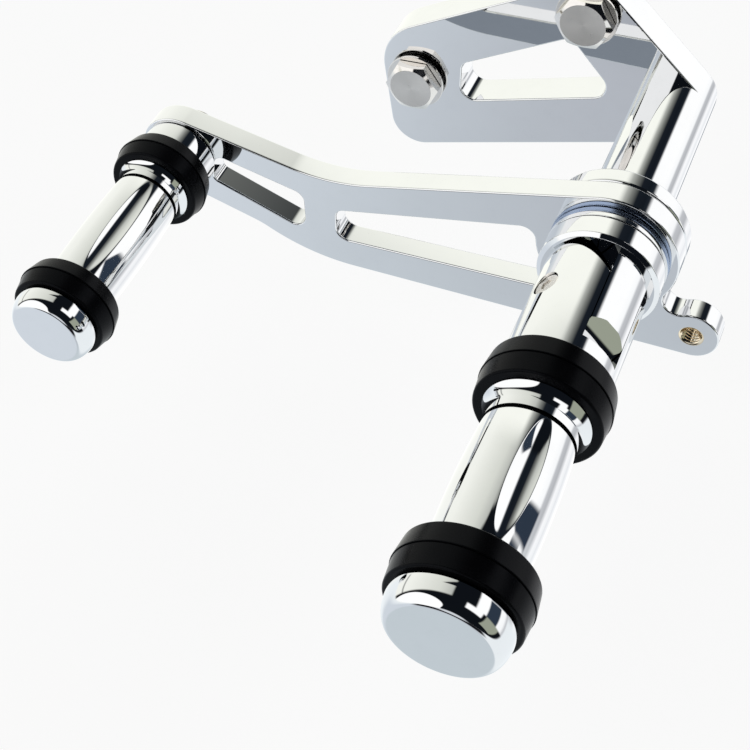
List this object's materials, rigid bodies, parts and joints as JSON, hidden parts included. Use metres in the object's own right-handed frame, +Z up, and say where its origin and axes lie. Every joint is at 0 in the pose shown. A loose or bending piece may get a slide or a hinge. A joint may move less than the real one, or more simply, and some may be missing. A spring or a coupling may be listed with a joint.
{
  "type": "motorcycle forward controls",
  "caption": "Left-hand forward control of a motorcycle: a frame bracket whose long boss carries a pivoting slotted shift lever with a toe peg, and a folding foot peg with rubber rings.",
  "frame": {"origin": "on the shaft axis, in the bracket plate's back face, which lies against the motorcycle's frame", "axes": "+Y out of the bracket's back face towards the frame, so the pegs point along -Y (outboard); +Z up; -X forwards, where the toe peg is"},
  "size_m": [0.2, 0.2501, 0.0834],
  "materials": {
    "mount_bracket": "mirror chrome",
    "boss_flange": "mirror chrome",
    "peg_mount": "mirror chrome",
    "thrust_washer_rear": "polished steel, faint blue",
    "thrust_washer_front": "polished steel, faint blue",
    "bracket_bolt_front": "turned stainless steel",
    "bracket_bolt_rear": "turned stainless steel",
    "flat_washer_front": "stainless steel",
    "flat_washer_rear": "stainless steel",
    "lock_washer_front": "black oxide steel",
    "lock_washer_rear": "black oxide steel",
    "shift_lever": "mirror chrome",
    "lever_bush": "plain bearing bronze",
    "toe_peg": "mirror chrome",
    "toe_ring_inner": "satin moulded rubber",
    "toe_ring_outer": "satin moulded rubber",
    "toe_peg_screw": "stainless steel",
    "toe_peg_washer": "stainless steel",
    "foot_peg": "mirror chrome",
    "foot_ring_inner": "satin moulded rubber",
    "foot_ring_outer": "satin moulded rubber",
    "fold_pin": "stainless steel"
  },
  "bodies": {
    "bracket": {"mount_bracket": "mount_bracket", "boss_flange": "boss_flange", "peg_mount": "peg_mount", "thrust_washer_rear": "thrust_washer_rear", "thrust_washer_front": "thrust_washer_front", "bracket_bolt_front": "bracket_bolt_front", "bracket_bolt_rear": "bracket_bolt_rear", "flat_washer_front": "flat_washer_front", "flat_washer_rear": "flat_washer_rear", "lock_washer_front": "lock_washer_front", "lock_washer_rear": "lock_washer_rear"},
    "lever": {"shift_lever": "shift_lever", "lever_bush": "lever_bush", "toe_peg": "toe_peg", "toe_ring_inner": "toe_ring_inner", "toe_ring_outer": "toe_ring_outer", "toe_peg_screw": "toe_peg_screw", "toe_peg_washer": "toe_peg_washer"},
    "peg": {"foot_peg": "foot_peg", "foot_ring_inner": "foot_ring_inner", "foot_ring_outer": "foot_ring_outer", "fold_pin": "fold_pin"}
  },
  "joints": [
    {"name": "lever_pivot", "type": "hinge", "parent": "bracket", "child": "lever", "pos_m": [0, -0.0809, 0], "axis": [0, 1, 0], "range_deg": [-15, 15]},
    {"name": "peg_fold", "type": "hinge", "parent": "bracket", "child": "peg", "pos_m": [0, -0.11465, 0], "axis": [-0.7071, 0, 0.7071], "range_deg": [0, 90]}
  ]
}
